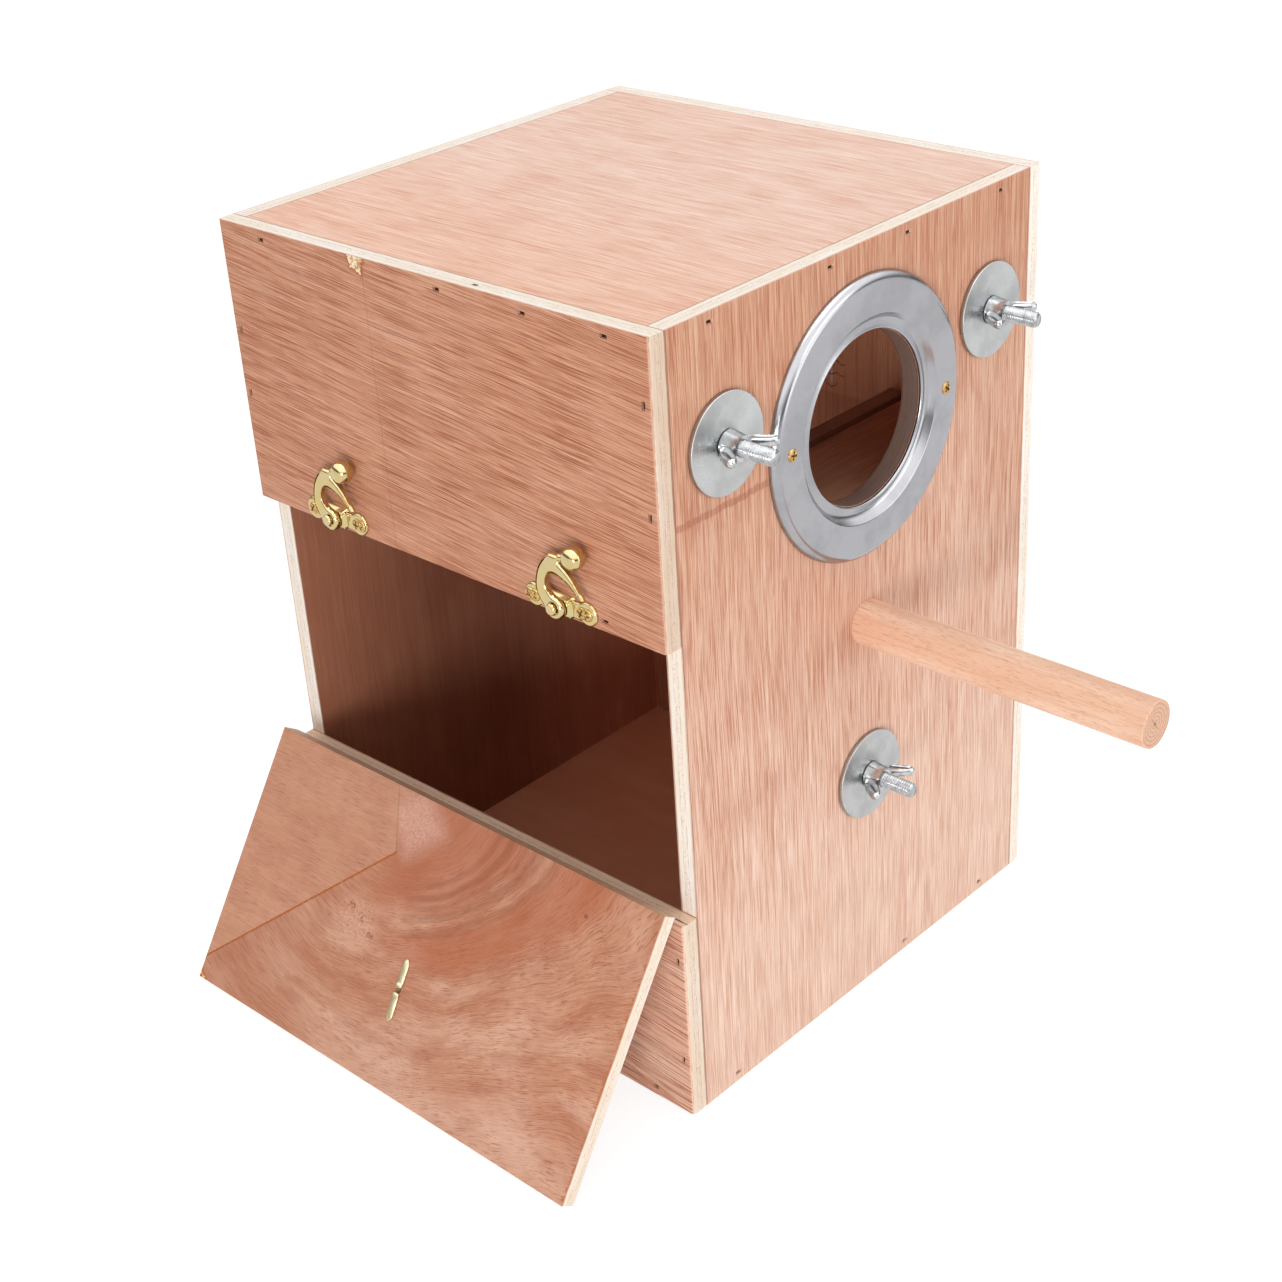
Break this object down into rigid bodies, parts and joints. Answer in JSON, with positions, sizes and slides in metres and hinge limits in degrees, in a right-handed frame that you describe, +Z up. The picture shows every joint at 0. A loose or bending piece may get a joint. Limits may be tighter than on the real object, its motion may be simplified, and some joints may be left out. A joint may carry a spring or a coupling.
{
  "type": "bird nest box",
  "caption": "Plywood nest box with a ringed round entrance, a dowel perch, a drop-down side door with hook latches, and wing-nut bolts for hanging it on a cage.",
  "frame": {"origin": "centre of the box body's underside, on the surface that it stands on", "axes": "+Z up; the round entrance and the perch face -Y; the drop-down door is on the -X side; shown with the door open, resting on the table"},
  "size_m": [0.2748, 0.326, 0.3],
  "materials": {
    "plywood": "bare reddish veneer with fine open grain and pale edges",
    "shelf_plywood": "bare veneer",
    "perch_wood": "bare sanded dowel",
    "ring_steel": "satin, with polished rims",
    "washer_zinc": "satin zinc plate",
    "bright_zinc": "bright zinc plate",
    "brass": "polished brass plate",
    "brad_steel": "dull wire"
  },
  "bodies": {
    "box": {"entrance_panel": "plywood", "opposite_panel": "plywood", "far_side_panel": "plywood", "upper_door_side_panel": "plywood", "lower_door_side_panel": "plywood", "roof_panel": "plywood", "floor_panel": "plywood", "landing_shelf": "shelf_plywood", "shelf_lip": "shelf_plywood", "entrance_ring": "ring_steel", "entrance_ring_screws": "brass", "perch": "perch_wood", "perch_screw": "bright_zinc", "mounting_bolts": "bright_zinc", "inner_washers": "washer_zinc", "latch_base_left": "brass", "latch_base_right": "brass", "latch_rivet_left": "brass", "latch_rivet_right": "brass", "latch_screws": "brass", "hinge_leaf_fixed_left": "brass", "hinge_leaf_fixed_right": "brass", "hinge_pin_left": "brass", "hinge_pin_right": "brass", "hinge_screws_fixed": "brass", "brads_door_side": "brad_steel", "brads_entrance_side": "brad_steel", "brads_far_side": "brad_steel", "brads_opposite_side": "brad_steel"},
    "door": {"door_flap": "plywood", "latch_keeper_left": "brass", "latch_keeper_right": "brass", "keeper_screws": "brass", "hinge_leaf_moving_left": "brass", "hinge_leaf_moving_right": "brass", "hinge_screws_moving": "brass", "pull_rosette": "brass", "pull_split_pin": "brass"},
    "left_latch_arm": {"latch_arm_left": "brass"},
    "right_latch_arm": {"latch_arm_right": "brass"},
    "pull_ring": {"pull_ring": "brass"},
    "upper_left_washer": {"outer_washer_upper_left": "washer_zinc"},
    "upper_left_nut": {"wing_nut_upper_left": "bright_zinc"},
    "upper_right_washer": {"outer_washer_upper_right": "washer_zinc"},
    "upper_right_nut": {"wing_nut_upper_right": "bright_zinc"},
    "lower_washer": {"outer_washer_lower": "washer_zinc"},
    "lower_nut": {"wing_nut_lower": "bright_zinc"}
  },
  "joints": [
    {"name": "door_hinge", "type": "hinge", "parent": "box", "child": "door", "pos_m": [-0.1055, 0, 0.0865], "axis": [0, -1, 0], "range_deg": [-146.04, 24]},
    {"name": "left_latch_pivot", "type": "hinge", "parent": "box", "child": "left_latch_arm", "pos_m": [-0.10795, 0.0575, 0.1962], "axis": [1, 0, 0], "range_deg": [0, 178]},
    {"name": "right_latch_pivot", "type": "hinge", "parent": "box", "child": "right_latch_arm", "pos_m": [-0.10795, -0.0575, 0.1962], "axis": [1, 0, 0], "range_deg": [0, 178]},
    {"name": "pull_ring_swing", "type": "hinge", "parent": "door", "child": "pull_ring", "pos_m": [-0.14081, 0, 0.0283], "axis": [0, -1, 0], "range_deg": [-40, 150]},
    {"name": "upper_left_nut_travel", "type": "slide", "parent": "box", "child": "upper_left_washer", "axis": [0, -1, 0], "range_m": [0, 0.00801]},
    {"name": "upper_left_nut_turn", "type": "hinge", "parent": "upper_left_washer", "child": "upper_left_nut", "pos_m": [-0.0722, -0.109, 0.2547], "axis": [0, -1, 0], "range_deg": [0, 2880]},
    {"name": "upper_right_nut_travel", "type": "slide", "parent": "box", "child": "upper_right_washer", "axis": [0, -1, 0], "range_m": [0, 0.00801]},
    {"name": "upper_right_nut_turn", "type": "hinge", "parent": "upper_right_washer", "child": "upper_right_nut", "pos_m": [0.0722, -0.109, 0.2547], "axis": [0, -1, 0], "range_deg": [0, 2880]},
    {"name": "lower_nut_travel", "type": "slide", "parent": "box", "child": "lower_washer", "axis": [0, -1, 0], "range_m": [0, 0.00801]},
    {"name": "lower_nut_turn", "type": "hinge", "parent": "lower_washer", "child": "lower_nut", "pos_m": [0, -0.109, 0.095], "axis": [0, -1, 0], "range_deg": [0, 2880]}
  ],
  "couplings": [
    {"joint": "upper_left_nut_travel", "follows": "upper_left_nut_turn", "m_per_rad": 0.00015915},
    {"joint": "upper_right_nut_travel", "follows": "upper_right_nut_turn", "m_per_rad": 0.00015915},
    {"joint": "lower_nut_travel", "follows": "lower_nut_turn", "m_per_rad": 0.00015915}
  ]
}
